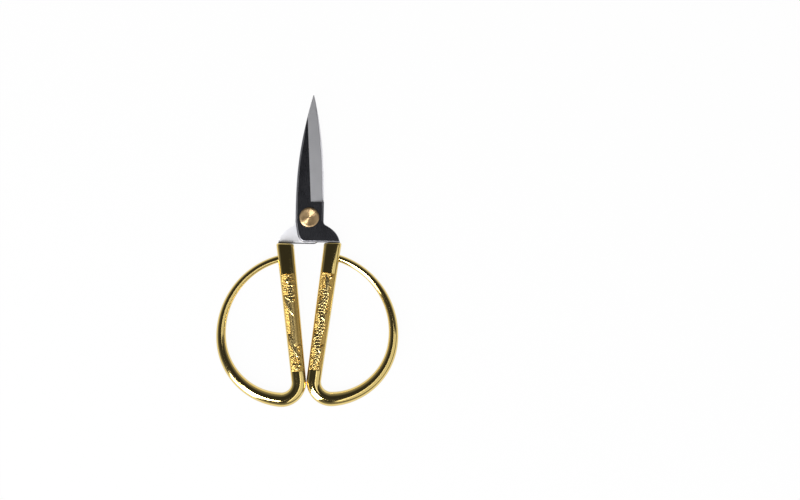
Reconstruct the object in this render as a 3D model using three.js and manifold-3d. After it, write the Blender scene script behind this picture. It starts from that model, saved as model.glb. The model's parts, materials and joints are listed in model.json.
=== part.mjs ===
// A pair of bow-handled needlework scissors, closed and lying flat: +Y runs to the tips, +Z is up.
// Each half is a steel blade whose tang sits in a cast handle, a straight leg that turns into a
// tapering finger bow. A turned rivet and its washer hold the two halves together. Millimetres.
import * as THREE from 'three';
import { mergeVertices } from 'three/addons/utils/BufferGeometryUtils.js';
import Module from 'manifold-3d';

// Blade plan, from the pivot's centre
const bladeReach = 51;
const tipWidth = 0.3;
const spineTipAngle = THREE.MathUtils.degToRad(13.7);
const edgeTipAngle = THREE.MathUtils.degToRad(9.9);
const spineOffset = 5.75;
const spineCurveStart = 5;
const heelStart = -2;
const heelAngle = THREE.MathUtils.degToRad(10);
const heelCorner = 4.25;
const ricassoOffset = 5.95;
const shoulderTop = -1.4;
const shoulderFillet = 1.7;
const shoulderInset = 0.7;
const shoulderEndAngle = THREE.MathUtils.degToRad(10);
const shoulderTopAngle = THREE.MathUtils.degToRad(63);
const curvePull = 0.38;

// Blade thickness and its flat grind
const bladeThickness = 2.2;
const bladeGap = 0.1;
const grindStart = 6.57;
const grindWidth = 4.5;
const edgeOffset = 5.05;
const edgeThickness = 0.45;
const ridgeLean = THREE.MathUtils.degToRad(4.24);

// Tang, cast into the top of the leg
const tangWidth = 4;
const tangThickness = 1.6;
const tangLength = 14;
const tangOverlap = 1.2;
const castGap = 0.3;

// Handle leg, from the pivot's centre
const legTopOffset = 9.95;
const legTopDepth = 10.7;
const legTopWidth = 7.3;
const legThickness = 6.6;
const legReach = 57.7;
const legGap = 0.3;
const legCornerWidth = 1.9;
const legCornerHeight = 2.1;
const roundShare = 0.48;

// Finger bow
const bendWidth = 6.1;
const bendRadius = 7.4;
const bendTurn = THREE.MathUtils.degToRad(100.5);
const lowerBowRadius = 26.8;
const lowerBowTurn = THREE.MathUtils.degToRad(80);
const bowRootWidth = 3;
const bowRootDepth = 5.35;
const bowTaperPower = 1.95;

// The back half's handle and shoulder sit this much further from the pivot, and when the scissors are
// closed both blades lean this much to the right of the line down the middle of the handles
const backDrop = 0.7;
const bladeLean = THREE.MathUtils.degToRad(0.95);

// Pivot rivet and rear washer
const shankRadius = 2;
const shankClearance = 0.1;
const headRadius = 4.1;
const headRim = 0.5;
const headCrown = 0.9;
const tailRadius = 3;
const tailHeight = 0.4;
const washerRadius = 4;
const washerThickness = 0.4;
const seatGap = 0.05;

// Facets
const sectionSteps = 6;
const legSteps = 6;
const bendSteps = 10;
const lowerBowSteps = 16;
const upperBowSteps = 26;
const outlineSteps = 12;
const roundSegments = 48;
const domeSteps = 6;

const wasm = await Module();
wasm.setup();

const gold = new THREE.MeshStandardMaterial({ color: 0xd9b75a, roughness: 0.15, metalness: 1 });
const steel = new THREE.MeshStandardMaterial({ color: 0x8f8f96, roughness: 0.3, metalness: 1 });
const brass = new THREE.MeshStandardMaterial({ color: 0xc6a676, roughness: 0.3, metalness: 1 });

function toSolid(geometry) {
  const bare = geometry.clone();
  bare.deleteAttribute('normal');
  bare.deleteAttribute('uv');
  const merged = mergeVertices(bare);
  return new wasm.Manifold(new wasm.Mesh({
    numProp: 3,
    vertProperties: new Float32Array(merged.attributes.position.array),
    triVerts: new Uint32Array(merged.index.array),
  }));
}

function toGeometry(solid) {
  const { vertProperties, triVerts } = solid.getMesh();
  const geometry = new THREE.BufferGeometry();
  geometry.setAttribute('position', new THREE.BufferAttribute(vertProperties, 3));
  geometry.setIndex(new THREE.BufferAttribute(triVerts, 1));
  geometry.computeVertexNormals();
  return geometry;
}

function piece(name, geometry, material) {
  const mesh = new THREE.Mesh(geometry, material);
  mesh.name = name;
  return mesh;
}

const direction = (heading) => new THREE.Vector2(Math.cos(heading), Math.sin(heading));
const leftOf = (heading) => new THREE.Vector2(-Math.sin(heading), Math.cos(heading));

// A handle's leg: its top, and the heading along which it runs tangent into the bend. The bends of
// the two handles stop legGap apart, which is where the closed scissors come to rest.
function legLine(drop) {
  const top = new THREE.Vector2(legTopOffset, -legTopDepth - drop);
  const bendCentre = new THREE.Vector2((bendWidth + legGap) / 2 + bendRadius, top.y - legReach);
  const toBend = bendCentre.clone().sub(top);
  const heading = toBend.angle() - Math.asin(bendRadius / toBend.length());
  const length = Math.sqrt(toBend.lengthSq() - bendRadius ** 2);
  const along = (distance) => top.clone().addScaledVector(direction(heading), distance);
  return { top, heading, length, along };
}

// Places and headings on a left-turning arc that leaves a place tangent to its heading
function arcFrom({ place, heading }, radius, turn, steps) {
  const centre = place.clone().addScaledVector(leftOf(heading), radius);
  return Array.from({ length: steps }, (_, step) => {
    const turned = heading + (turn * (step + 1)) / steps;
    return { place: centre.clone().addScaledVector(leftOf(turned), -radius), heading: turned };
  });
}

// A cross-section: a rectangle with elliptical corners, as [across, up] pairs
function roundedSection(width, thickness, cornerWidth, cornerHeight) {
  const centres = [[1, 1], [-1, 1], [-1, -1], [1, -1]];
  return centres.flatMap(([sideways, upwards], quarter) => Array.from({ length: sectionSteps }, (_, step) => {
    const angle = (quarter + step / (sectionSteps - 1)) * (Math.PI / 2);
    return [
      sideways * (width / 2 - cornerWidth) + cornerWidth * Math.cos(angle),
      upwards * (thickness / 2 - cornerHeight) + cornerHeight * Math.sin(angle),
    ];
  }));
}

// Skins a row of stations, each with a place, the direction across it and its section
function loft(stations) {
  const sides = stations[0].section.length;
  const positions = stations.flatMap(({ place, across, section }) => section.flatMap(([aside, up]) => [
    place.x + across.x * aside,
    place.y + across.y * aside,
    up,
  ]));
  const faces = [];
  for (let ring = 0; ring < stations.length - 1; ring += 1) {
    for (let side = 0; side < sides; side += 1) {
      const next = (side + 1) % sides;
      const [a, b] = [ring * sides + side, ring * sides + next];
      faces.push(a, b, a + sides, b, b + sides, a + sides);
    }
  }
  const last = (stations.length - 1) * sides;
  for (let side = 1; side < sides - 1; side += 1) {
    faces.push(0, side + 1, side, last, last + side, last + side + 1);
  }
  const geometry = new THREE.BufferGeometry();
  geometry.setAttribute('position', new THREE.Float32BufferAttribute(positions, 3));
  geometry.setIndex(faces);
  return geometry;
}

// Where the leg meets the blade it is cut level, so the top section is wider than the leg itself
function legStations(leg) {
  const level = new THREE.Vector2(-1 / Math.sin(leg.heading), 0);
  return Array.from({ length: legSteps + 1 }, (_, step) => {
    const share = step / legSteps;
    const width = THREE.MathUtils.lerp(legTopWidth, bendWidth, share);
    return {
      place: leg.along(leg.length * share),
      across: step === 0 ? level : leftOf(leg.heading),
      section: roundedSection(width, legThickness, legCornerWidth, legCornerHeight),
    };
  });
}

// The bend goes from the leg's flat section to a round one, and the bow tapers from there to its
// root. The upper bow is the one arc that leaves the lower bow smoothly and ends in the leg.
function bowStations(leg) {
  const start = { place: leg.along(leg.length), heading: leg.heading };
  const bend = arcFrom(start, bendRadius, bendTurn, bendSteps);
  const lowerBow = arcFrom(bend.at(-1), lowerBowRadius, lowerBowTurn, lowerBowSteps);
  const from = lowerBow.at(-1);
  const toRoot = leg.along(bowRootDepth).sub(from.place);
  const sideways = toRoot.dot(leftOf(from.heading));
  const forwards = toRoot.dot(direction(from.heading));
  const upperBowRadius = toRoot.lengthSq() / (2 * sideways);
  const upperBow = arcFrom(from, upperBowRadius, 2 * Math.atan2(sideways, forwards), upperBowSteps);
  const bow = [...lowerBow, ...upperBow];
  const section = (width, thickness, roundness) => roundedSection(
    width,
    thickness,
    THREE.MathUtils.lerp(legCornerWidth, width * roundShare, roundness),
    THREE.MathUtils.lerp(legCornerHeight, thickness * roundShare, roundness),
  );
  const bendSections = [start, ...bend].map(({ place, heading }, step) => {
    const share = step / bendSteps;
    const thickness = THREE.MathUtils.lerp(legThickness, bendWidth, share);
    return { place, across: leftOf(heading), section: section(bendWidth, thickness, share) };
  });
  const bowSections = bow.map(({ place, heading }, step) => {
    const left = 1 - (step + 1) / bow.length;
    const width = bowRootWidth + (bendWidth - bowRootWidth) * left ** bowTaperPower;
    return { place, across: leftOf(heading), section: section(width, width, 1) };
  });
  return [...bendSections, ...bowSections];
}

// A bar along the leg's axis, from some way above the leg's top down into it
function legBar(leg, width, thickness, above, below) {
  const bar = new THREE.BoxGeometry(above + below, width, thickness);
  const middle = leg.along((below - above) / 2);
  bar.rotateZ(leg.heading);
  bar.translate(middle.x, middle.y, (bladeGap + bladeThickness) / 2);
  return toSolid(bar);
}

// One casting, with the socket that takes the tang
function handleGeometry(drop) {
  const leg = legLine(drop);
  const [socketWidth, socketThickness] = [tangWidth + 2 * castGap, tangThickness + 2 * castGap];
  const socket = legBar(leg, socketWidth, socketThickness, tangWidth, tangLength + castGap);
  const casting = toSolid(loft(legStations(leg))).add(toSolid(loft(bowStations(leg))));
  return toGeometry(casting.subtract(socket));
}

// Adds a curve that leaves the outline's last point along one heading and arrives along another
function curveTo(outline, leaving, x, y, arriving) {
  const from = outline.currentPoint;
  const pull = curvePull * Math.hypot(x - from.x, y - from.y);
  outline.bezierCurveTo(
    from.x + pull * Math.cos(leaving), from.y + pull * Math.sin(leaving),
    x - pull * Math.cos(arriving), y - pull * Math.sin(arriving),
    x, y,
  );
}

// Plan of a blade: the spine down to the heel, the shoulder that meets the leg, and the cutting edge
function bladeOutline(drop, lean) {
  const leg = legLine(drop);
  const legSide = leg.top.x - legTopWidth / 2 / Math.sin(leg.heading);
  const bottom = leg.top.y + castGap;
  const tipOffset = bladeReach * Math.tan(lean);
  const [up, down] = [Math.PI / 2, -Math.PI / 2];
  const shoulderHeading = up + shoulderTopAngle;
  const outline = new THREE.Shape();
  outline.moveTo(tipOffset - tipWidth / 2, bladeReach);
  curveTo(outline, down - spineTipAngle - lean, -spineOffset, spineCurveStart, down);
  outline.lineTo(-spineOffset, heelStart);
  curveTo(outline, down + heelAngle, heelCorner - spineOffset, bottom, 0);
  outline.lineTo(legSide - shoulderInset, bottom);
  curveTo(
    outline, up + shoulderEndAngle,
    ricassoOffset + shoulderFillet / 2,
    shoulderTop - drop - shoulderFillet, shoulderHeading,
  );
  curveTo(outline, shoulderHeading, ricassoOffset, shoulderTop - drop, up);
  outline.lineTo(ricassoOffset, grindStart);
  outline.lineTo(edgeOffset, grindStart);
  curveTo(outline, up, tipOffset + tipWidth / 2, bladeReach, up + edgeTipAngle - lean);
  outline.holes.push(new THREE.Path().absarc(0, 0, shankRadius + shankClearance, 0, Math.PI * 2, true));
  return outline;
}

// What the grinding wheel takes off: all above a plane that falls from the ridge to the edge
function grindWedge(lean) {
  const face = bladeGap / 2 + bladeThickness;
  const fall = (bladeThickness - edgeThickness) / grindWidth;
  const ridge = edgeOffset - grindWidth;
  const reach = spineOffset + ricassoOffset;
  const profile = new THREE.Shape([
    new THREE.Vector2(ridge, face),
    new THREE.Vector2(ridge + reach, face - fall * reach),
    new THREE.Vector2(ridge + reach, face + bladeThickness),
    new THREE.Vector2(ridge, face + bladeThickness),
  ]);
  const wedge = new THREE.ExtrudeGeometry(profile, { depth: bladeReach, bevelEnabled: false });
  wedge.rotateX(Math.PI / 2);
  wedge.translate(0, bladeReach, 0);
  wedge.applyMatrix4(new THREE.Matrix4().makeShear(0, 0, -Math.tan(ridgeLean - lean), 0, 0, 0));
  wedge.translate(0, grindStart, 0);
  return toSolid(wedge);
}

function bladeGeometry(drop, lean) {
  const plate = new THREE.ExtrudeGeometry(bladeOutline(drop, lean), {
    depth: bladeThickness,
    bevelEnabled: false,
    curveSegments: outlineSteps,
  });
  plate.translate(0, 0, bladeGap / 2);
  const tang = legBar(legLine(drop), tangWidth, tangThickness, tangOverlap, tangLength);
  return toGeometry(toSolid(plate).subtract(grindWedge(lean)).add(tang));
}

// Turns a closed profile of [radius, height] pairs about the pivot's axis
function turned(profile) {
  const points = profile.map(([radius, height]) => new THREE.Vector2(radius, height));
  return new THREE.LatheGeometry(points, roundSegments).rotateX(Math.PI / 2);
}

// A low dome from its rim to the axis, as [radius, height] pairs
function dome(radius, base, height) {
  return Array.from({ length: domeSteps + 1 }, (_, step) => {
    const angle = (step / domeSteps) * (Math.PI / 2);
    return [step === domeSteps ? 0 : radius * Math.cos(angle), base + height * Math.sin(angle)];
  });
}

const bladeFace = bladeGap / 2 + bladeThickness;
const washerTop = -bladeFace - seatGap;
const washerBottom = washerTop - washerThickness;
const tailBase = washerBottom - seatGap;
const headBase = bladeFace + seatGap;

function rivetGeometry() {
  const tail = dome(tailRadius, tailBase, -tailHeight).reverse();
  const head = dome(headRadius, headBase + headRim, headCrown);
  return turned([...tail, [shankRadius, tailBase], [shankRadius, headBase], [headRadius, headBase], ...head]);
}

function washerGeometry() {
  const bore = shankRadius + shankClearance;
  return turned([
    [bore, washerBottom],
    [washerRadius, washerBottom],
    [washerRadius, washerTop],
    [bore, washerTop],
    [bore, washerBottom],
  ]);
}

// The front half is as drawn, and the back half is turned over about the scissors' length
const frontHalf = new THREE.Group();
frontHalf.add(
  piece('right_handle', handleGeometry(0), gold),
  piece('front_blade', bladeGeometry(0, bladeLean), steel),
  piece('pivot_rivet', rivetGeometry(), brass),
  piece('rear_washer', washerGeometry(), brass),
);

const backHalf = new THREE.Group();
backHalf.rotation.y = Math.PI;
backHalf.add(
  piece('left_handle', handleGeometry(backDrop), gold),
  piece('back_blade', bladeGeometry(backDrop, -bladeLean), steel),
);

// The origin is under the middle of the closed scissors, on the surface that they lie on
const scissors = new THREE.Group();
scissors.add(frontHalf, backHalf);
const extent = new THREE.Box3().setFromObject(scissors, true);
const middle = extent.getCenter(new THREE.Vector3());
scissors.position.set(-middle.x, -middle.y, -extent.min.z);

export default scissors;
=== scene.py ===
import json
import math

import bmesh
import bpy
import numpy as np
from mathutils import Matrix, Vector
from mathutils.geometry import interpolate_bezier


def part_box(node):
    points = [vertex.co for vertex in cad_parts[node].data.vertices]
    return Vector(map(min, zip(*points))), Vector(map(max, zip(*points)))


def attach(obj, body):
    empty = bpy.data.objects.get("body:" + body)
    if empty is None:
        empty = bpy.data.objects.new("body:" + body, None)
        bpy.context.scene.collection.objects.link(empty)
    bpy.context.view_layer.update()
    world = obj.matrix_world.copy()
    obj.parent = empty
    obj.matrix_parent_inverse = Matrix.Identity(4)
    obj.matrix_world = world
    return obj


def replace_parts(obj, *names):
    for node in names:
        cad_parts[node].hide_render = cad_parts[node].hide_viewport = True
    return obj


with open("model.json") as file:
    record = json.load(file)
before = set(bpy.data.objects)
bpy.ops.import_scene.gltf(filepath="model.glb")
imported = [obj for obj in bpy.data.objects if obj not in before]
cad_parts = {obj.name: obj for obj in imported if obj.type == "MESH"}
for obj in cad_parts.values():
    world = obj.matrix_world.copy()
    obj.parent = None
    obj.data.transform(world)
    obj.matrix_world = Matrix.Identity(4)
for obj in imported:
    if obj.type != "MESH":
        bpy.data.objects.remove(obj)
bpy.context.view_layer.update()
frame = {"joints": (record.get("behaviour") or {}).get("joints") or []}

# Blades. Each is stamped from steel plate, blackened and polished outside and ground bright inside,
# with rounded edges and one flat grind. Both are the same stamping, one turned over, and each runs
# on into a tang that its handle is cast round. Sizes are in millimetres from the pivot.
MM = 0.001
pivot = Vector(frame["joints"][0]["pos_m"])
blade_low, blade_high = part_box("front_blade")
blade_reach = (blade_high.y - pivot.y) / MM
plate_under = (blade_low.z - pivot.z) / MM
plate_face = (blade_high.z - pivot.z) / MM
back_drop = (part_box("right_handle")[0].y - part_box("left_handle")[0].y) / MM

tip_width = 0.3
blade_lean = math.radians(0.95)
spine_tip_angle = math.radians(13.7)
edge_tip_angle = math.radians(9.9)
spine_offset = 5.75
spine_curve_start = 5
heel_start = -2
heel_angle = math.radians(10)
heel_corner = 4.25
ricasso_offset = 5.95
shoulder_top = -1.4
shoulder_fillet = 1.7
shoulder_inset = 0.7
shoulder_end_angle = math.radians(10)
shoulder_top_angle = math.radians(63)
curve_pull = 0.38
curve_steps = 24

leg_top = Vector((9.95, -10.7, 0))
leg_top_width = 7.3
leg_reach = 57.7
bend_width = 6.1
bend_radius = 7.4
leg_gap = 0.1
bend_centre = Vector(((bend_width + leg_gap) / 2 + bend_radius, leg_top.y - leg_reach, 0))
to_bend = bend_centre - leg_top
leg_heading = math.atan2(to_bend.y, to_bend.x) - math.asin(bend_radius / to_bend.length)
leg_length = math.sqrt(to_bend.length_squared - bend_radius ** 2)
leg_inside = leg_top.x + leg_top_width / 2 / math.sin(leg_heading)
cast_gap = 0.3

grind_start = 6.57
grind_width = 4.5
edge_offset = 5.05
edge_thickness = 0.45
ridge_lean = math.radians(4.24)
grind_fall = (plate_face - plate_under - edge_thickness) / grind_width

bore_radius = 2.1
bore_segments = 64
bore_margin = 1
drill_length = 4 * plate_face
tang_width = 4
tang_thickness = 1.6
tang_length = 14
tang_overlap = 1.2

edge_round = 0.75
edge_round_segments = 4
shoulder_share = 0.3
inside_share = 0.55
inside_fade = 5
ledge_share = 0.12
spine_fade = 7
spine_fade_end = 40
hair = 1e-4
flush = 1e-3
same_way = 0.999
flat_angle = math.radians(0.2)
sharp_angle = math.radians(32)


def heading_vector(heading):
    return Vector((math.cos(heading), math.sin(heading), 0))


def curve_to(outline, leaving, end, arriving):
    """Adds a curve that leaves the outline's last point on one heading and arrives on another."""
    start = outline[-1]
    pull = curve_pull * (end - start).length
    leave_handle = start + pull * heading_vector(leaving)
    arrive_handle = end - pull * heading_vector(arriving)
    outline.extend(interpolate_bezier(start, leave_handle, arrive_handle, end, curve_steps)[1:])


def blade_outline(drop, lean):
    """Plan of the stamping: down the spine, round the heel and shoulder, and up the cutting edge."""
    up, down = math.pi / 2, -math.pi / 2
    leg_side = leg_top.x - leg_top_width / 2 / math.sin(leg_heading)
    bottom = leg_top.y - drop + cast_gap
    shoulder_heading = up + shoulder_top_angle
    shoulder_start = Vector((ricasso_offset, shoulder_top - drop, 0))
    shoulder_foot = shoulder_start + Vector((shoulder_fillet / 2, -shoulder_fillet, 0))
    tip_offset = blade_reach * math.tan(lean)
    outline = [Vector((tip_offset - tip_width / 2, blade_reach, 0))]
    curve_to(outline, down - spine_tip_angle - lean, Vector((-spine_offset, spine_curve_start, 0)), down)
    outline.append(Vector((-spine_offset, heel_start, 0)))
    curve_to(outline, down + heel_angle, Vector((heel_corner - spine_offset, bottom, 0)), 0)
    outline.append(Vector((leg_inside, bottom, 0)))
    outline.append(Vector((leg_side - shoulder_inset, bottom, 0)))
    curve_to(outline, up + shoulder_end_angle, shoulder_foot, shoulder_heading)
    curve_to(outline, shoulder_heading, shoulder_start, up)
    outline.append(Vector((ricasso_offset, grind_start, 0)))
    outline.append(Vector((edge_offset, grind_start, 0)))
    tip = Vector((tip_offset + tip_width / 2, blade_reach, 0))
    curve_to(outline, up, tip, up + edge_tip_angle - lean)
    return outline


def activate(piece):
    bpy.ops.object.select_all(action="DESELECT")
    piece.select_set(True)
    bpy.context.view_layer.objects.active = piece


def carve(piece, tool, operation):
    """Cuts a tool's shape from a piece or joins it on, and takes the tool away."""
    boolean = piece.modifiers.new("carve", "BOOLEAN")
    boolean.object = tool
    boolean.operation = operation
    boolean.solver = "MANIFOLD"
    activate(piece)
    bpy.ops.object.modifier_apply(modifier=boolean.name)
    piece.data.materials.clear()
    bpy.data.objects.remove(tool)


def grinding_tool(lean):
    """The wedge that the wheel takes off, from the ridge out past the cutting edge."""
    bpy.ops.object.select_all(action="DESELECT")
    bpy.ops.mesh.primitive_cube_add(size=1)
    wedge = bpy.context.object
    ridge = edge_offset - grind_width
    reach = spine_offset + ricasso_offset
    for vertex in wedge.data.vertices:
        out = reach if vertex.co.x > 0 else 0
        along = blade_reach if vertex.co.y > 0 else 0
        height = plate_face if vertex.co.z > 0 else -grind_fall * out
        aside = along * math.tan(ridge_lean - lean)
        vertex.co = (ridge + out - aside, grind_start + along, plate_face + height)
    return wedge


def leg_bar(drop, width, thickness, above, below):
    """A bar on the axis of the leg, from above the leg's top down into it."""
    bpy.ops.object.select_all(action="DESELECT")
    bpy.ops.mesh.primitive_cube_add(size=1)
    bar = bpy.context.object
    middle = leg_top - Vector((0, drop, 0)) + (below - above) / 2 * heading_vector(leg_heading)
    bar.scale = (above + below, width, thickness)
    bar.rotation_euler.z = leg_heading
    bar.location = (middle.x, middle.y, (plate_under + plate_face) / 2)
    bpy.ops.object.transform_apply(location=True, rotation=True, scale=True)
    return bar


def edge_share(edge, bottom):
    """How much of the full rounding one edge of the plate gets, from 0 to 1."""
    middle = (edge.verts[0].co + edge.verts[1].co) / 2
    heights = [vertex.co.z for vertex in edge.verts]
    if edge.calc_face_angle(0) < sharp_angle or middle.xy.length < bore_radius + bore_margin:
        return 0
    if max(heights) < plate_under + hair:
        if middle.x > leg_inside:
            return 0
        return inside_share * max(0, 1 - (middle.y - bottom) / inside_fade)
    if min(heights) < plate_face - hair:
        return 0
    if middle.y > grind_start + hair:
        return max(0, min(1, (spine_fade_end - middle.y) / spine_fade))
    if middle.y > grind_start - hair:
        return ledge_share
    if middle.x > ricasso_offset + hair:
        return shoulder_share
    return 1


def seat_on_pivot(piece, turned_over):
    """Takes a piece from its drawing, in millimetres from the pivot, to its place on the scissors."""
    activate(piece)
    piece.scale = (MM, MM, MM)
    piece.rotation_euler.y = math.pi if turned_over else 0
    piece.location = pivot
    bpy.ops.object.transform_apply(location=True, rotation=True, scale=True)


class Wire:
    """A socket in a finish's nodes. Arithmetic on it adds Math nodes."""

    def __init__(self, tree, socket=None):
        self.tree = tree
        self.socket = socket

    def node(self, kind, settings, inputs, output=0):
        made = self.tree.nodes.new("ShaderNode" + kind)
        for name, value in settings.items():
            if name == "stops":
                for index, (position, colour) in enumerate(value):
                    stops = made.color_ramp.elements
                    stop = stops[index] if index < 2 else stops.new(position)
                    stop.position = position
                    stop.color = colour
            else:
                setattr(made, name, value)
        for key, value in inputs.items():
            if isinstance(value, Wire):
                self.tree.links.new(value.socket, made.inputs[key])
            else:
                made.inputs[key].default_value = value
        return Wire(self.tree, made.outputs[output])

    def math(self, operation, first, second=0.0, third=0.0):
        return self.node("Math", {"operation": operation}, {0: first, 1: second, 2: third})

    def __add__(self, other):
        return self.math("ADD", self, other)

    def __radd__(self, other):
        return self.math("ADD", other, self)

    def __sub__(self, other):
        return self.math("SUBTRACT", self, other)

    def __rsub__(self, other):
        return self.math("SUBTRACT", other, self)

    def __mul__(self, other):
        return self.math("MULTIPLY", self, other)

    def __rmul__(self, other):
        return self.math("MULTIPLY", other, self)

    def mix(self, first, second):
        """A colour that goes from the first to the second as this value goes from 0 to 1."""
        return self.node("Mix", {"data_type": "RGBA"}, {0: self, 6: first, 7: second}, output=2)


class Finish:
    """A metal finish: its material, its shader's sockets and the place on the piece in millimetres."""

    def __init__(self, name, roughness):
        self.material = bpy.data.materials.new(name)
        self.material.use_nodes = True
        tree = self.material.node_tree
        self.shader = tree.nodes["Principled BSDF"]
        self.shader.inputs["Metallic"].default_value = 1
        self.shader.inputs["Roughness"].default_value = roughness
        self.wire = Wire(tree)
        place = self.wire.node("TexCoord", {}, {}, output="Object")
        self.place = self.wire.node("VectorMath", {"operation": "SCALE"}, {0: place, "Scale": 1 / MM})

    def feed(self, socket, wire):
        self.wire.tree.links.new(wire.socket, self.shader.inputs[socket])

    def grain(self, stretch, turn=0.0, detail=3.0):
        """Noise from 0 to 1, stretched: the larger a number in stretch, the finer the grain that way."""
        mapped = self.wire.node(
            "Mapping", {}, {"Vector": self.place, "Scale": stretch, "Rotation": (0, 0, turn)}
        )
        return self.wire.node("TexNoise", {}, {"Vector": mapped, "Scale": 1.0, "Detail": detail})

    def bump(self, height, depth):
        """Feeds a height from 0 to 1, which is depth millimetres deep, to the shader's normal."""
        normal = self.wire.node("Bump", {}, {"Height": height, "Distance": depth * MM, "Strength": 1.0})
        self.feed("Normal", normal)


def steel_finish(name, dark, light, roughness, stretch, turn, depth):
    """Steel with wheel marks: two tones, a grain that runs one way and its fine scratches."""
    finish = Finish(name, roughness)
    marks = finish.grain(stretch, turn)
    clouds = finish.grain((0.22, 0.22, 0.22), detail=2.0)
    finish.feed("Base Color", (marks * 0.6 + clouds * 0.4).mix(dark, light))
    finish.feed("Roughness", roughness - 0.08 + 0.1 * marks + 0.06 * clouds)
    finish.bump(marks, depth)
    return finish


along_blade = (9, 0.35, 9)
across_blade = (0.5, 14, 0.5)
# The bright inside is a soft satin, which scatters more light than it mirrors.
satin_metallic = 0.15
# The blackened finish also stands as painted shade on the inside face's rounded lower edge under the
# heel.
blackened_and_shade = steel_finish(
    "blackened_face_and_shade", (0.058, 0.059, 0.068, 1), (0.093, 0.094, 0.104, 1), 0.28, along_blade, 0, 0.002
)
ground = steel_finish(
    "flat_grind", (0.85, 0.85, 0.88, 1), (0.96, 0.96, 0.99, 1), 0.42, across_blade, ridge_lean, 0.004
)
bright = steel_finish(
    "bright_inside", (0.88, 0.88, 0.92, 1), (0.95, 0.95, 0.98, 1), 0.60, across_blade, 0, 0.003
)
bright.shader.inputs["Metallic"].default_value = satin_metallic
edge_steel = steel_finish(
    "rounded_edge", (0.20, 0.20, 0.22, 1), (0.30, 0.30, 0.32, 1), 0.40, along_blade, 0, 0.002
)


def blade(name, drop, lean, body):
    """Stamps, grinds, bores and rounds one blade, and joins its tang on."""
    outline = blade_outline(drop, lean)
    bpy.ops.object.select_all(action="DESELECT")
    bpy.ops.mesh.primitive_circle_add(vertices=len(outline), fill_type="NGON")
    plate = bpy.context.object
    plate.name = name
    for vertex, place in zip(plate.data.vertices, outline):
        vertex.co = (place.x, place.y, plate_under)
    bpy.ops.object.mode_set(mode="EDIT")
    bpy.ops.mesh.select_all(action="SELECT")
    thickness = plate_face - plate_under
    bpy.ops.mesh.extrude_region_move(TRANSFORM_OT_translate={"value": (0, 0, thickness)})
    bpy.ops.mesh.select_all(action="SELECT")
    bpy.ops.mesh.normals_make_consistent(inside=False)
    bpy.ops.object.mode_set(mode="OBJECT")
    carve(plate, grinding_tool(lean), "DIFFERENCE")
    bpy.ops.object.select_all(action="DESELECT")
    bpy.ops.mesh.primitive_cylinder_add(vertices=bore_segments, radius=bore_radius, depth=drill_length)
    carve(plate, bpy.context.object, "DIFFERENCE")

    activate(plate)
    bpy.ops.object.mode_set(mode="EDIT")
    bpy.ops.mesh.select_all(action="SELECT")
    bpy.ops.mesh.dissolve_limited(angle_limit=flat_angle)
    bpy.ops.object.mode_set(mode="OBJECT")
    mesh = bmesh.new()
    mesh.from_mesh(plate.data)
    weight = mesh.edges.layers.float.new("bevel_weight_edge")
    for edge in mesh.edges:
        edge[weight] = edge_share(edge, leg_top.y - drop + cast_gap)
    mesh.to_mesh(plate.data)
    mesh.free()
    rounding = plate.modifiers.new("rounding", "BEVEL")
    rounding.limit_method = "WEIGHT"
    rounding.width = edge_round
    rounding.segments = edge_round_segments
    rounding.use_clamp_overlap = False
    rounding.harden_normals = True
    activate(plate)
    bpy.ops.object.shade_smooth_by_angle(angle=sharp_angle)
    bpy.ops.object.modifier_apply(modifier=rounding.name)
    carve(plate, leg_bar(drop, tang_width, tang_thickness, tang_overlap, tang_length), "UNION")

    finishes = (blackened_and_shade, ground, bright, edge_steel)
    for finish in finishes:
        plate.data.materials.append(finish.material)
    grind_normal = Vector((grind_fall, grind_fall * math.tan(ridge_lean - lean), 1)).normalized()
    for face in plate.data.polygons:
        if face.normal.z > same_way:
            finish = blackened_and_shade if face.center.z > plate_face - flush else edge_steel
        elif face.normal.dot(grind_normal) > same_way:
            finish = ground
        elif face.normal.z < -same_way:
            finish = bright
        # Painted shade: the rounding along the inside face's lower edge, under the heel, takes the dark
        # blackened finish to stand for the shade beneath the blade's edge.
        elif face.center.z < plate_under + edge_round and face.center.y < heel_start:
            finish = blackened_and_shade
        else:
            finish = edge_steel
        face.material_index = finishes.index(finish)
    seat_on_pivot(plate, turned_over=body == "left_half")
    bpy.ops.object.shade_smooth_by_angle(angle=sharp_angle)
    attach(plate, body)
    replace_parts(plate, name.removesuffix("_steel"))


blade("front_blade_steel", 0, blade_lean, "right_half")
blade("back_blade_steel", back_drop, -blade_lean, "left_half")

# Handles. Each is one zinc casting, polished and gold plated: a straight leg with rounded edges turns
# through a tight bend into a finger bow, round in section, that tapers and runs back into the leg.
leg_thickness = (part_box("right_handle")[1].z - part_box("right_handle")[0].z) / MM
leg_corner_width = 1.9
leg_corner_height = 2.1
corner_segments = 10
long_edge = 1
flat_cuts = 5
crown_slope = math.radians(8)
seam = 0.01
lip_round = 0.8
lip_segments = 8
bend_turn = math.radians(100.5)
lower_bow_radius = 26.8
lower_bow_turn = math.radians(80)
bow_root_width = 3
bow_root_depth = 5.35
bow_taper_power = 1.95
root_flare = 0.7
root_flare_rings = 6
bow_inset = 0.06
bend_steps = 28
lower_bow_steps = 80
upper_bow_steps = 130
leg_tilt = leg_heading + math.pi / 2


def ring_vertices(mesh, ring, sides):
    mesh.verts.ensure_lookup_table()
    return mesh.verts[ring * sides:(ring + 1) * sides]


def select_ring(piece, ring, sides):
    """Selects one ring of a swept bar in edit mode and gives its centre."""
    bpy.ops.mesh.select_all(action="DESELECT")
    mesh = bmesh.from_edit_mesh(piece.data)
    vertices = ring_vertices(mesh, ring, sides)
    for vertex in vertices:
        vertex.select_set(True)
    mesh.select_flush(True)
    bmesh.update_edit_mesh(piece.data)
    return sum((vertex.co for vertex in vertices), Vector()) / sides


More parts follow.
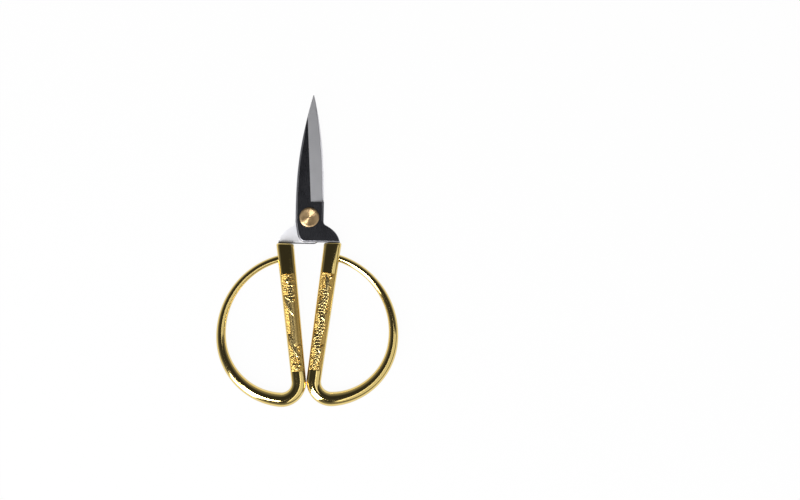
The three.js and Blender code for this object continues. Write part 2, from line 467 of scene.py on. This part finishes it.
def crown(section):
    """Bows the section's front and back a little, and runs its corners on from their slope."""
    flat = bend_width / 2 - leg_corner_width
    crown_radius = flat / math.sin(crown_slope)
    drop = crown_radius * (1 - math.cos(crown_slope))
    wide = leg_corner_width / (1 - math.sin(crown_slope))
    tall = (leg_corner_height - drop) / math.cos(crown_slope)
    mesh = bmesh.from_edit_mesh(section.data)
    for vertex in mesh.verts:
        x, z = abs(vertex.co.x), abs(vertex.co.z)
        if x <= flat + hair:
            z -= crown_radius - math.sqrt(crown_radius ** 2 - x ** 2)
        elif z > leg_thickness / 2 - leg_corner_height:
            turn = math.asin(min(1, (x - flat) / leg_corner_width))
            angle = crown_slope + turn * (1 - 2 * crown_slope / math.pi)
            x = flat + wide * (math.sin(angle) - math.sin(crown_slope))
            z = leg_thickness / 2 - leg_corner_height + tall * math.cos(angle)
        vertex.co.x = math.copysign(x, vertex.co.x)
        vertex.co.z = math.copysign(z, vertex.co.z)
    bmesh.update_edit_mesh(section.data)


def leg_section(name):
    """The leg's section as a flat face in the XZ plane: a rectangle with elliptical corners."""
    bpy.ops.object.select_all(action="DESELECT")
    bpy.ops.mesh.primitive_plane_add(size=1, rotation=(math.pi / 2, 0, 0))
    bpy.ops.object.transform_apply(rotation=True)
    section = bpy.context.object
    section.name = name
    bpy.ops.object.mode_set(mode="EDIT")
    bpy.ops.mesh.select_all(action="SELECT")
    corners = (bend_width / leg_corner_width, 1, leg_thickness / leg_corner_height)
    bpy.ops.transform.resize(value=corners)
    bpy.ops.mesh.bevel(affect="VERTICES", offset=1, segments=corner_segments)
    bpy.ops.mesh.select_all(action="SELECT")
    bpy.ops.transform.resize(value=(leg_corner_width, 1, leg_corner_height))
    bpy.ops.mesh.select_mode(type="EDGE")
    bpy.ops.mesh.select_all(action="DESELECT")
    mesh = bmesh.from_edit_mesh(section.data)
    for edge in mesh.edges:
        edge.select_set(edge.calc_length() > long_edge)
    bmesh.update_edit_mesh(section.data)
    bpy.ops.mesh.subdivide(number_cuts=flat_cuts)
    crown(section)
    bpy.ops.mesh.select_mode(type="FACE")
    bpy.ops.mesh.select_all(action="SELECT")
    return section


def close_bar(bar):
    bpy.ops.mesh.select_all(action="SELECT")
    bpy.ops.mesh.normals_make_consistent(inside=False)
    bpy.ops.object.mode_set(mode="OBJECT")
    return bar


def leg_bar_casting(name):
    """The leg, drawn straight down from its top, which has a soft lip and is level under the blade."""
    leg = leg_section(name)
    sides = len(bmesh.from_edit_mesh(leg.data).verts)
    bpy.ops.mesh.extrude_region_move(TRANSFORM_OT_translate={"value": (0, -leg_length, 0)})
    bpy.ops.mesh.select_mode(type="VERT")
    select_ring(leg, 0, sides)
    widening = (leg_top_width / 2 - leg_corner_width) / (bend_width / 2 - leg_corner_width)
    mesh = bmesh.from_edit_mesh(leg.data)
    for vertex in ring_vertices(mesh, 0, sides):
        flat = bend_width / 2 - leg_corner_width
        side = math.copysign(max(0, abs(vertex.co.x) - flat), vertex.co.x)
        vertex.co.x = max(-flat, min(flat, vertex.co.x)) * widening + side
        vertex.co.y = cast_gap - seam - vertex.co.x * math.tan(leg_tilt)
    bmesh.update_edit_mesh(leg.data)
    bpy.ops.mesh.bevel(offset=lip_round, segments=lip_segments)
    return close_bar(leg)


def bow_casting(name):
    """The bend and bow, spun from the leg's section: it turns round in the bend and then tapers."""
    bow = leg_section(name)
    sides = len(bmesh.from_edit_mesh(bow.data).verts)
    bpy.ops.transform.translate(value=(0, -leg_length, 0))
    bend_middle = Vector((bend_radius, -leg_length, 0))
    bow_heading = bend_turn - math.pi / 2
    inward = Vector((-math.sin(bow_heading), math.cos(bow_heading), 0))
    lower_start = bend_middle - bend_radius * inward
    lower_middle = lower_start + lower_bow_radius * inward
    upper_heading = bow_heading + lower_bow_turn
    inward = Vector((-math.sin(upper_heading), math.cos(upper_heading), 0))
    upper_start = lower_middle - lower_bow_radius * inward
    to_root = Vector((0, -bow_root_depth, 0)) - upper_start
    sideways = to_root.dot(inward)
    forwards = to_root.dot(heading_vector(upper_heading))
    upper_radius = to_root.length_squared / (2 * sideways)
    upper_turn = 2 * math.atan2(sideways, forwards)
    upper_middle = upper_start + upper_radius * inward
    arcs = (
        (bend_steps, bend_turn, bend_middle),
        (lower_bow_steps, lower_bow_turn, lower_middle),
        (upper_bow_steps, upper_turn, upper_middle),
    )
    for steps, turn, middle in arcs:
        bpy.ops.mesh.spin(steps=steps, angle=-turn, center=middle, axis=(0, 0, 1))

    bpy.ops.mesh.select_mode(type="VERT")
    bow_steps = lower_bow_steps + upper_bow_steps
    for ring in range(1, bend_steps + bow_steps + 1):
        centre = select_ring(bow, ring, sides)
        roundness = min(1, ring / bend_steps)
        bpy.ops.transform.tosphere(value=roundness)
        left = 1 - max(0, ring - bend_steps) / bow_steps
        width = bow_root_width + (bend_width - bow_root_width) * left ** bow_taper_power
        rings_left = bend_steps + bow_steps - ring
        width += root_flare * max(0, 1 - rings_left / root_flare_rings) ** 2
        mesh = bmesh.from_edit_mesh(bow.data)
        radius = max((vertex.co - centre).xy.length for vertex in ring_vertices(mesh, ring, sides))
        share = width / 2 / radius
        bpy.ops.transform.resize(value=(share, share, share), center_override=centre)
        inset = (upper_middle - centre).normalized() * bow_inset * roundness
        bpy.ops.transform.translate(value=inset)
    return close_bar(bow)


# Ornament. Both faces of each leg carry a long sunken panel with a cast relief, soft-edged under its
# plating: a scaled dragon among cloud curls on the right leg, a phoenix with long wing and tail
# feathers on the left one. The ground has fine round grains that fade out to one side.
panel_start = 12.4
panel_length = 41
panel_depth = 0.45
panel_sag = 0.3
panel_margin = 0.06
panel_columns = 64
panel_rows = 490
cutter_margin = 1
relief_clearance = 0.01
rim_sink = 0.04
slab_depth = 0.8
skin = 0.0015
skin_seed = 7
grains_end = 1.5
grains_fade = 0.7
curl_eye = 0.18
curl_start = 0.4
curl_turns = 1.35
curl_steps = 14
curl_eye_width = 0.3
curl_width = 0.4
curl_tail_width = 0.14
curl_tail_bulge = 0.2
curl_height = 0.34
scale_length = 1.7
scale_shoulder = 0.35
scale_breadth = 0.9
scale_root = 0.45
scale_crown = 0.6
corner_reach = 1.33


def panel_half_width(along):
    """Half the panel's width, at a distance down it: the leg's flat and part of its rounded sides."""
    share = (panel_start + along) / leg_length
    leg_width = leg_top_width + (bend_width - leg_top_width) * share
    return leg_width / 2 - leg_corner_width + corner_reach - panel_margin


class Relief:
    """Heights over a panel's ground, built up by laying one form over another."""

    def __init__(self, across, along):
        self.across = across
        self.along = along
        self.height = np.zeros_like(across)

    def lay(self, form):
        self.height = np.maximum(self.height, form)

    def bead(self, centre, radius, height):
        out = np.hypot(self.across - centre[0], self.along - centre[1]) / radius
        self.lay(height * np.sqrt(np.clip(1 - out ** 2, 0, 1)))

    def stroke(self, points, start_width, end_width, height, keel=0.5):
        """A tapering rib along a line. Its section is round at a keel of 0.5 and a sharp ridge at 1."""
        best = np.zeros_like(self.across)
        lengths = [math.dist(a, b) for a, b in zip(points, points[1:])]
        done = 0
        for (a, b), length in zip(zip(points, points[1:]), lengths):
            step = (b[0] - a[0], b[1] - a[1])
            from_a = (self.across - a[0], self.along - a[1])
            share = np.clip((from_a[0] * step[0] + from_a[1] * step[1]) / length ** 2, 0, 1)
            off = np.hypot(from_a[0] - share * step[0], from_a[1] - share * step[1])
            gone = (done + share * length) / sum(lengths)
            width = start_width + (end_width - start_width) * gone
            best = np.maximum(best, height * np.clip(1 - (2 * off / width) ** 2, 0, 1) ** keel)
            done += length
        self.lay(best)

    def bowed(self, start, end, bulge, widths, height, keel=0.5, steps=8):
        """A stroke that bows sideways by a bulge between its two ends."""
        side = (start[1] - end[1], end[0] - start[0])
        length = math.hypot(*side)
        points = []
        for step in range(steps + 1):
            share = step / steps
            swing = bulge * math.sin(math.pi * share) / length
            points.append(tuple(
                a + (b - a) * share + swing * s for a, b, s in zip(start, end, side)
            ))
        self.stroke(points, *widths, height, keel)

    def curl(self, centre, radius, turn, tail):
        """A cloud curl: a spiral that opens into a short tail. A negative turn winds the other way."""
        points = []
        for step in range(curl_steps + 1):
            share = step / curl_steps
            angle = turn * (curl_start + share * curl_turns) * 2 * math.pi
            reach = radius * (curl_eye + (1 - curl_eye) * share)
            points.append((centre[0] + reach * math.cos(angle), centre[1] + reach * math.sin(angle)))
        self.stroke(points, curl_eye_width, curl_width, curl_height)
        mouth = points[-1]
        tail_tip = (mouth[0] + tail[0], mouth[1] + tail[1])
        self.bowed(mouth, tail_tip, curl_tail_bulge, (curl_width, curl_tail_width), curl_height)

    def scales(self, gone, aside, inside, pitch, spread, rise, base):
        """Rows of rounded scales that lie over each other like tiles, where inside is true."""
        tiles = np.zeros_like(self.across)
        for back in (0, 1):
            row = np.floor(gone / pitch) - back
            reach = (gone / pitch - row) / scale_length
            offset = aside / spread + 0.5 * (row % 2)
            sideways = 2 * (offset - np.floor(offset)) - 1
            edge = np.clip((reach - scale_shoulder) / (1 - scale_shoulder), 0, 2)
            within = sideways ** 2 * scale_breadth + edge ** 2 < 1
            tile = rise * (scale_root + (1 - scale_root) * reach - scale_crown * sideways ** 2)
            tiles = np.maximum(tiles, np.where(within, tile, 0))
        self.lay(np.where(inside, base + tiles, 0))

    def grains(self, pitch, height):
        """The ground's grains, in staggered rows that fade out to the right."""
        row = np.floor(self.along / pitch)
        column = self.across / pitch + 0.5 * (row % 2)
        out = np.hypot(column - np.floor(column) - 0.5, self.along / pitch - row - 0.5) * 2
        fade = np.clip((grains_end - self.across) / grains_fade, 0, 1)
        self.lay(fade * height * np.sqrt(np.clip(1 - out ** 2, 0, 1)))


def dragon(relief):
    """A dragon that winds down the leg: head at the top, scaled back, ribbed belly, fins and claws."""
    wave_length, wave_height, body_start, body_end = 12.5, 0.55, 6.4, 40.6
    body_width, neck_width, tail_width = 1.4, 1.0, 0.35

    def middle(along):
        return wave_height * np.sin(2 * np.pi * (along - body_start) / wave_length) - 0.45

    def half_width(along):
        share = np.clip((along - body_start) / (body_end - body_start), 0, 1)
        swell = neck_width + (body_width - neck_width) * np.sin(np.pi * np.clip(share * 1.6, 0, 0.5))
        return swell + (tail_width - body_width) * np.clip((share - 0.6) / 0.4, 0, 1) ** 1.5

    relief.grains(0.62, 0.08)
    slope = wave_height * 2 * np.pi / wave_length
    slant = slope * np.cos(2 * np.pi * (relief.along - body_start) / wave_length)
    lean = 1 / np.sqrt(1 + slant ** 2)
    aside = (relief.across - middle(relief.along)) * lean
    gone = relief.along + slant * (relief.across - middle(relief.along)) * lean ** 2
    half = half_width(gone)
    on_body = (np.abs(aside) < half) & (gone > body_start) & (gone < body_end)
    crown = np.sqrt(np.clip(1 - (aside / half) ** 2, 0, 1))
    back = on_body & (aside > -0.55 * half)
    belly = on_body & (aside <= -0.55 * half)
    relief.lay(np.where(on_body, 0.03 + 0.13 * crown, 0))
    relief.scales(gone, aside * body_width / half, back, 1.3, 1.15, 0.27, 0.02 + 0.13 * crown)
    ribs = 0.5 + 0.5 * np.cos(2 * np.pi * gone / 0.95)
    relief.lay(np.where(belly, 0.04 + 0.16 * crown + 0.12 * ribs, 0))

    for fin in np.arange(body_start + 1, body_end - 2, 1.25):
        edge = middle(fin) + 0.9 * half_width(fin)
        relief.bowed((edge, fin), (edge + 0.75, fin + 1.1), 0.12, (0.62, 0.1), 0.34, 0.8)

    for hip, side in ((12.2, -1), (18.4, 1), (26.8, -1), (32.2, 1)):
        start = (middle(hip) + 0.5 * side, hip)
        knee = (middle(hip) + 1.6 * side, hip + 1.3)
        foot = (middle(hip) + 1.7 * side, hip - 1.2)
        relief.stroke([start, knee, foot], 1.05, 0.5, 0.42)
        for claw in (-0.65, 0, 0.65):
            relief.bowed(foot, (foot[0] + claw, foot[1] - 1.1), 0.15, (0.42, 0.1), 0.4, 0.7)

    for centre, turn, tail in (
        ((-1.55, 8.6), 1, (0.2, 1.7)), ((1.6, 14.4), -1, (-0.2, 1.6)), ((-1.6, 21.4), 1, (0.2, 1.8)),
        ((1.55, 24.2), -1, (0.1, -1.6)), ((-1.5, 31.2), 1, (0.2, 1.7)), ((1.45, 36.4), -1, (-0.2, 1.6)),
        ((-1.4, 36.2), 1, (0.2, 1.8)), ((1.3, 39.9), -1, (-0.2, -1.4)), ((-1.25, 40.0), 1, (0.1, -1.3)),
    ):
        relief.curl(centre, 0.68, turn, tail)

    for end in ((2.0, 7.6), (1.4, 8.8), (0.3, 9.2), (-0.9, 8.7), (-1.7, 7.4)):
        relief.bowed((0.2, 5.4), end, 0.3, (0.8, 0.14), 0.38, 0.7)
    relief.stroke([(0.3, 6.6), (0.3, 5.0), (-0.1, 3.8)], 2.0, 1.5, 0.41)
    relief.stroke([(-0.05, 4.0), (-0.45, 2.6), (-0.75, 1.7)], 1.3, 0.95, 0.42)
    relief.stroke([(0.65, 4.3), (0.6, 3.1), (0.2, 2.1)], 0.75, 0.4, 0.36)
    relief.bead((-0.8, 1.6), 0.48, 0.44)
    relief.bead((0.05, 4.0), 0.38, 0.44)
    relief.bowed((0.6, 5.0), (2.0, 6.4), -0.35, (0.5, 0.14), 0.43, 0.7)
    relief.bowed((-0.35, 5.2), (-1.8, 6.3), 0.35, (0.5, 0.14), 0.43, 0.7)
    relief.bowed((-1.0, 1.9), (-2.0, 5.0), 0.5, (0.32, 0.12), 0.34)
    relief.bead((1.45, 1.7), 0.72, 0.43)
    for end in ((2.05, 0.5), (1.4, 0.3), (0.7, 0.6)):
        relief.bowed((1.45, 1.5), end, 0.15, (0.5, 0.1), 0.34, 0.7)


def phoenix(relief):
    """A phoenix that hangs down the leg: crest and scaled neck, one great wing, and a plumed tail."""
    relief.grains(0.62, 0.08)

    def plume(root, tip, width, height):
        """A long feather: a broad keeled blade with a fine shaft along it."""
        relief.bowed(root, tip, 0.45, (width, 0.3), height, 1.0, steps=10)
        relief.bowed(root, tip, 0.45, (0.22, 0.12), height + 0.02, steps=10)

    neck = [(-0.35, 3.4), (0.4, 5.0), (0.6, 6.8), (0.2, 8.8), (0.0, 10.4), (0.1, 12.5)]
    relief.stroke(neck, 1.3, 3.0, 0.22)
    in_neck = (relief.height > 0.1) & (relief.along > 4.2) & (relief.along < 12)
    relief.scales(relief.along, relief.across, in_neck, 1.1, 0.98, 0.25, 0.5 * relief.height)
    body = [(0.1, 12.0), (0.2, 15.0), (0.25, 19.0), (0.2, 24.0), (0.1, 29.0)]
    relief.stroke(body, 3.0, 3.3, 0.25, 0.7)

    for quill in range(3):
        root = (-2.1 + 0.5 * quill, 9.6 + 0.8 * quill)
        plume(root, (root[0] + 1.9, root[1] + 7.2 - 0.4 * quill), 1.5, 0.36 + 0.03 * quill)
    relief.bowed((-2.2, 9.2), (1.0, 10.8), 0.5, (0.75, 0.6), 0.43)

    for quill in range(3):
        root = (-1.9 + 0.5 * quill, 25.8 + 0.9 * quill)
        plume(root, (root[0] + 1.7, root[1] + 8.4 - 0.5 * quill), 1.5, 0.36 + 0.03 * quill)
    for end in ((-1.2, 38.2), (0.0, 39.7), (1.15, 38.4)):
        relief.bowed((0.3, 31.0), end, 0.3, (0.9, 0.45), 0.34, 0.8, steps=12)
        relief.bead(end, 0.68, 0.38)
        relief.bead(end, 0.32, 0.44)
    for centre, turn, tail in (
        ((1.45, 34.6), -1, (-0.1, 1.6)), ((-1.4, 35.2), 1, (0.1, 1.6)), ((1.7, 30.4), -1, (0.0, 1.6)),
        ((1.75, 9.0), -1, (0.0, 1.6)), ((-1.55, 6.6), 1, (0.1, 1.6)), ((1.7, 5.0), -1, (0.0, 1.6)),
    ):
        relief.curl(centre, 0.6, turn, tail)

    relief.bead((-0.5, 3.1), 0.95, 0.42)
    relief.bead((-0.7, 2.9), 0.28, 0.44)
    relief.bowed((-1.1, 2.9), (-2.0, 4.1), -0.3, (0.7, 0.12), 0.4, 0.8)
    relief.bowed((-1.0, 3.6), (-1.5, 4.4), -0.15, (0.42, 0.1), 0.34, 0.8)
    for end in ((-0.8, 0.7), (0.3, 0.6), (1.2, 1.3), (1.7, 2.7)):
        relief.bowed((-0.3, 2.7), end, 0.3, (0.45, 0.22), 0.36)
        relief.bead(end, 0.4, 0.42)


def panel_slab(design, side):
    """The relief as a closed slab in the leg's drawing. Side is 1 for its front and -1 for its back."""
    bpy.ops.object.select_all(action="DESELECT")
    bpy.ops.mesh.primitive_grid_add(x_subdivisions=panel_columns, y_subdivisions=panel_rows, size=1)
    slab = bpy.context.object
    flat = np.empty(len(slab.data.vertices) * 3)
    slab.data.vertices.foreach_get("co", flat)
    places = flat.reshape(-1, 3)
    along = (0.5 - places[:, 1]) * panel_length
    across = 2 * places[:, 0] * panel_half_width(along)
    relief = Relief(across, along)
    design(relief)
    # The plating softens the relief: each height is averaged with its neighbours.
    soft = np.pad(relief.height.reshape(panel_rows + 1, panel_columns + 1), 1, mode="edge")
    soft = (soft[:-2] + 2 * soft[1:-1] + soft[2:]) / 4
    soft = (soft[:, :-2] + 2 * soft[:, 1:-1] + soft[:, 2:]) / 4
    rim = (np.abs(places[:, :2]) > 0.5 - hair).any(axis=1)
    ground = leg_thickness / 2 - panel_depth
    height = np.minimum(soft.ravel(), panel_depth - relief_clearance)
    height -= panel_sag * (2 * places[:, 0]) ** 2
    height += skin * np.random.default_rng(skin_seed).normal(size=len(height))
    height = np.where(rim, -panel_sag - rim_sink, height)
    places[:] = np.stack([side * across, -panel_start - along, side * (ground + height)], axis=1)
    slab.data.vertices.foreach_set("co", places.ravel())
    slab.data.update()
    bpy.ops.object.mode_set(mode="EDIT")
    bpy.ops.mesh.select_mode(type="EDGE")
    bpy.ops.mesh.select_all(action="DESELECT")
    bpy.ops.mesh.select_non_manifold()
    bpy.ops.mesh.extrude_edges_move(TRANSFORM_OT_translate={"value": (0, 0, -side * slab_depth)})
    bpy.ops.mesh.edge_face_add()
    bpy.ops.mesh.select_all(action="SELECT")
    bpy.ops.mesh.normals_make_consistent(inside=False)
    bpy.ops.object.mode_set(mode="OBJECT")
    return slab


def sink_panels(casting, design):
    """Sinks the panels into both faces of a leg and fills them with the relief."""
    for side in (1, -1):
        bpy.ops.object.select_all(action="DESELECT")
        floor_height = leg_thickness / 2 - panel_depth - panel_sag
        bpy.ops.mesh.primitive_cube_add(
            location=(0, -panel_start - panel_length / 2, side * (floor_height + leg_thickness / 2)),
            scale=(leg_top_width / 2 + cutter_margin, panel_length / 2, leg_thickness / 2),
        )
        bpy.ops.object.transform_apply(location=True, rotation=True, scale=True)
        carve(casting, bpy.context.object, "DIFFERENCE")
        carve(casting, panel_slab(design, side), "UNION")


grazing_tint = (0.85, 0.88, 1.0, 1)
# Painted shade for the panels' recesses: the darker colour the ground goes to at full depth, and how far
# it goes.
recess_shade_tone = (0.50, 0.32, 0.08, 1)
recess_shade_share = 0.9


def gold_finish(name, dark, light):
    """Gold plate on polished zinc: soft ripples left by the buffing and a few fine scuffs."""
    finish = Finish(name, 0.1)
    finish.shader.inputs["Specular Tint"].default_value = grazing_tint
    finish.ripple = finish.grain((0.35, 0.35, 0.35), detail=2.0)
    finish.scuffs = finish.grain((3, 0.4, 3), turn=0.5)
    finish.tone = (finish.ripple * 0.55 + finish.scuffs * 0.45).mix(dark, light)
    return finish


gold = gold_finish("gold_plate", (0.78, 0.58, 0.19, 1), (0.86, 0.68, 0.27, 1))
gold.feed("Base Color", gold.tone)
gold.feed("Roughness", 0.04 + 0.07 * gold.scuffs + 0.02 * gold.ripple)
gold.bump(gold.ripple, 0.005)

cast_gold = gold_finish("cast_gold", (0.74, 0.54, 0.19, 1), (0.92, 0.76, 0.38, 1))
cast_height = cast_gold.wire.node("SeparateXYZ", {}, {0: cast_gold.place}, output=2)
from_middle = cast_gold.wire.math("ABSOLUTE", cast_height - pivot.z / MM)
under_face = leg_thickness / 2 - from_middle
sunk = cast_gold.wire.node("MapRange", {}, {0: under_face, 1: 0.0, 2: panel_depth, 3: 0.0, 4: 1.0})
pits = cast_gold.grain((5, 5, 5), detail=4.0)
# Painted shade: the base colour darkens towards the bottom of the panel's recesses, where the relief's
# hollows lie in shade.
cast_gold.feed("Base Color", (sunk * recess_shade_share).mix(cast_gold.tone, recess_shade_tone))
cast_gold.feed("Roughness", 0.10 + 0.16 * sunk + 0.08 * pits)
cast_gold.bump(pits, 0.015)


def handle(name, drop, design, body):
    """Casts one handle with its ornament, and leaves room in its leg for the blade's tang."""
    casting = leg_bar_casting(name)
    carve(casting, bow_casting("bow"), "UNION")
    sink_panels(casting, design)
    activate(casting)
    casting.rotation_euler.z = leg_tilt
    casting_top = leg_top - Vector((0, drop, 0))
    casting.location = casting_top
    bpy.ops.object.transform_apply(location=True, rotation=True)
    socket_width = tang_width + 2 * cast_gap
    socket_thickness = tang_thickness + 2 * cast_gap
    socket_depth = tang_length + cast_gap
    socket = leg_bar(drop, socket_width, socket_thickness, tang_width, socket_depth)
    carve(casting, socket, "DIFFERENCE")
    casting.data.materials.append(gold.material)
    casting.data.materials.append(cast_gold.material)
    down_leg = heading_vector(leg_heading)
    across_leg = heading_vector(leg_tilt)
    for face in casting.data.polygons:
        place = face.center - casting_top
        along = place.dot(down_leg) - panel_start
        in_panel = 0 < along < panel_length and abs(place.dot(across_leg)) < panel_half_width(along)
        if in_panel and abs(place.z) > leg_thickness / 2 - panel_depth - panel_sag - rim_sink:
            face.material_index = 1
    seat_on_pivot(casting, turned_over=body == "left_half")
    bpy.ops.object.shade_smooth_by_angle(angle=sharp_angle)
    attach(casting, body)
    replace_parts(casting, name.removesuffix("_casting"))


handle("right_handle_casting", 0, dragon, "right_half")
handle("left_handle_casting", back_drop, phoenix, "left_half")

# Rivet and washer. The rivet is turned from brass bar, with fine tool rings on its low head, and is
# peened over a brass washer behind the back blade.
rivet_low, rivet_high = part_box("pivot_rivet")
washer_low, washer_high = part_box("rear_washer")
head_top = (rivet_high.z - pivot.z) / MM
tail_end = (rivet_low.z - pivot.z) / MM
head_radius = (rivet_high.x - rivet_low.x) / 2 / MM
washer_radius = (washer_high.x - washer_low.x) / 2 / MM
washer_top = (washer_high.z - pivot.z) / MM
washer_bottom = (washer_low.z - pivot.z) / MM
shank_radius = 2
head_clearance = 0.02
head_base = plate_face + head_clearance
head_rim = 0.45
dome_share = 0.97
rim_round = 0.25
tool_rings = 11
ring_depth = 0.08
ring_steps = 6
tail_radius = 3
tail_steps = 8
turn_segments = 128


def turned(name, profile, body):
    """Turns a closed profile of (radius, height) pairs about the pivot."""
    bpy.ops.object.select_all(action="DESELECT")
    bpy.ops.mesh.primitive_circle_add(vertices=len(profile), fill_type="NOTHING")
    piece = bpy.context.object
    piece.name = name
    for vertex, (radius, height) in zip(piece.data.vertices, profile):
        vertex.co = (radius, 0, height)
    bpy.ops.object.mode_set(mode="EDIT")
    bpy.ops.mesh.select_all(action="SELECT")
    bpy.ops.mesh.spin(steps=turn_segments, angle=2 * math.pi, center=(0, 0, 0), axis=(0, 0, 1))
    bpy.ops.mesh.select_all(action="SELECT")
    bpy.ops.mesh.remove_doubles(threshold=hair)
    bpy.ops.mesh.dissolve_degenerate(threshold=hair)
    bpy.ops.mesh.delete_loose()
    bpy.ops.mesh.select_all(action="SELECT")
    bpy.ops.mesh.normals_make_consistent(inside=False)
    bpy.ops.object.mode_set(mode="OBJECT")
    piece.data.materials.append(brass.material)
    seat_on_pivot(piece, turned_over=False)
    bpy.ops.object.shade_smooth_by_angle(angle=sharp_angle)
    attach(piece, body)
    return piece


brass = Finish("turned_brass", 0.25)
from_pivot = brass.wire.node(
    "VectorMath", {"operation": "SUBTRACT"}, {0: brass.place, 1: tuple(pivot / MM)}
)
across = brass.wire.node("SeparateXYZ", {}, {0: from_pivot}, output=0)
along = brass.wire.node("SeparateXYZ", {}, {0: from_pivot}, output=1)
out = brass.wire.math("SQRT", across * across + along * along)
fine_rings = brass.wire.node(
    "TexNoise", {"noise_dimensions": "1D"}, {"W": out, "Scale": 9.0, "Detail": 4.0}
)
tarnish = brass.grain((0.5, 0.5, 0.5), detail=3.0)
dull_brass = (0.50, 0.32, 0.145, 1)
clean_brass = (0.71, 0.52, 0.305, 1)
brass.feed("Base Color", (fine_rings * 0.5 + tarnish * 0.5).mix(dull_brass, clean_brass))
brass.feed("Roughness", 0.24 + 0.14 * fine_rings + 0.06 * tarnish)
brass.bump(fine_rings, 0.02)


def dome_height(share):
    """Height of the head over its rim at a share of the way out from the centre."""
    return (head_top - head_base - head_rim) * math.sqrt(max(0, 1 - share ** 2))


head = []
for step in range(tool_rings * ring_steps + 1):
    share = step / (tool_rings * ring_steps)
    radius = share * (head_radius - rim_round)
    groove = ring_depth * (0.5 - 0.5 * math.cos(2 * math.pi * share * tool_rings))
    height = head_base + head_rim + dome_height(share * dome_share) - groove
    head.append((radius, height))
rim_top = head[-1][1]
for step in range(1, ring_steps + 1):
    angle = step / ring_steps * math.pi / 2
    head.append((
        head_radius - rim_round + rim_round * math.sin(angle),
        rim_top - rim_round * (1 - math.cos(angle)),
    ))
tail = []
for step in range(tail_steps + 1):
    angle = step / tail_steps * math.pi / 2
    height = washer_bottom + (tail_end - washer_bottom) * math.sin(angle)
    tail.append((tail_radius * math.cos(angle), height))
tail[-1] = (0, tail_end)
shank = [(head_radius, head_base), (shank_radius, head_base), (shank_radius, washer_bottom)]
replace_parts(turned("pivot_rivet_turning", head + shank + tail, "right_half"), "pivot_rivet")

washer_clearance = 0.1
washer_bore = shank_radius + washer_clearance
washer_chamfer = 0.12
washer_profile = [
    (washer_bore, washer_bottom),
    (washer_radius - washer_chamfer, washer_bottom),
    (washer_radius, washer_bottom + washer_chamfer),
    (washer_radius, washer_top),
    (washer_bore, washer_top),
]
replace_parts(turned("rear_washer_turning", washer_profile, "right_half"), "rear_washer")

# Studio. The scissors lie on a plain white floor under soft light from the sides, with a dark
# overhead that the polished faces reflect, and the camera looks straight down with a long lens.
image_width = 800
pixel_size = 0.418 * MM
image_centre = Vector((38.08, -12.9, 0)) * MM + pivot
camera_roll = math.radians(1.1)
lens = 100
sensor = 36

camera_data = bpy.data.cameras.new("camera")
camera_data.lens = lens
camera_data.sensor_width = sensor
camera = bpy.data.objects.new("camera", camera_data)
camera.location = image_centre + Vector((0, 0, image_width * pixel_size * lens / sensor))
camera.rotation_euler.z = camera_roll
bpy.context.scene.collection.objects.link(camera)
bpy.context.scene.camera = camera

floor_size = 6
bpy.ops.object.select_all(action="DESELECT")
bpy.ops.mesh.primitive_plane_add(size=floor_size)
floor = bpy.context.object
floor.name = "floor"
floor_material = bpy.data.materials.new("white_floor")
floor_material.use_nodes = True
floor_tree = floor_material.node_tree
paper = floor_tree.nodes["Principled BSDF"]
paper.inputs["Base Color"].default_value = (0.9, 0.9, 0.9, 1)
paper.inputs["Roughness"].default_value = 0.9
floor_wire = Wire(floor_tree)
seen = floor_wire.node("LightPath", {}, {}, output="Is Camera Ray")
mirrored = floor_wire.node("LightPath", {}, {}, output="Is Glossy Ray")
passed = floor_wire.node("LightPath", {}, {}, output="Is Transmission Ray")
shown = floor_wire.math("MAXIMUM", floor_wire.math("MAXIMUM", seen, mirrored), passed)
glow = floor_wire.node("Emission", {}, {"Color": (1, 1, 1, 1), "Strength": 1.0})
white_share = 0.97
lit_paper = Wire(floor_tree, paper.outputs[0])
floor_surface = floor_wire.node("MixShader", {}, {0: shown * white_share, 1: lit_paper, 2: glow})
floor_tree.links.new(floor_surface.socket, floor_tree.nodes["Material Output"].inputs["Surface"])
floor.data.materials.append(floor_material)

world = bpy.data.worlds.new("studio")
world.use_nodes = True
bpy.context.scene.world = world
horizon_grey = (0.38, 0.38, 0.38, 1)
overhead_grey = (0.035, 0.035, 0.037, 1)
overhead_start = 0.75
sky = Wire(world.node_tree)
direction = sky.node("TexCoord", {}, {}, output="Generated")
sky_height = sky.node("SeparateXYZ", {}, {0: direction}, output=2)
sky_stops = [(0.0, horizon_grey), (overhead_start, overhead_grey)]
sky_grey = sky.node("ValToRGB", {"stops": sky_stops}, {0: sky_height})
background = sky.node("Background", {}, {"Color": sky_grey, "Strength": 1.0})
world_output = world.node_tree.nodes["World Output"]
world.node_tree.links.new(background.socket, world_output.inputs["Surface"])


def softbox(name, place, aim, wide, tall, radiance):
    """A soft panel at a place that faces the way of aim. Lengths are in metres."""
    lamp = bpy.data.lights.new(name, "AREA")
    lamp.shape = "RECTANGLE"
    lamp.size = wide
    lamp.size_y = tall
    lamp.energy = radiance * math.pi * wide * tall
    stand = bpy.data.objects.new(name, lamp)
    stand.location = place
    stand.rotation_euler = Vector(aim).to_track_quat("-Z", "Y").to_euler()
    bpy.context.scene.collection.objects.link(stand)


softbox("key_panel", (-0.58, -0.67, 0.47), (0.58, 0.67, -0.47), 0.42, 0.7, 8)
softbox("high_panel", (-0.257, -0.411, 0.875), (0.257, 0.411, -0.875), 0.2, 0.3, 26)
softbox("right_panel", (1.03, -0.75, 1.0), (0, 0, -1), 1.73, 1.5, 0.75)
softbox("near_strip", (0.165, -0.45, 1.01), (0, 0, -1), 0.06, 0.9, 1.8)

bpy.context.scene.view_settings.view_transform = "Standard"
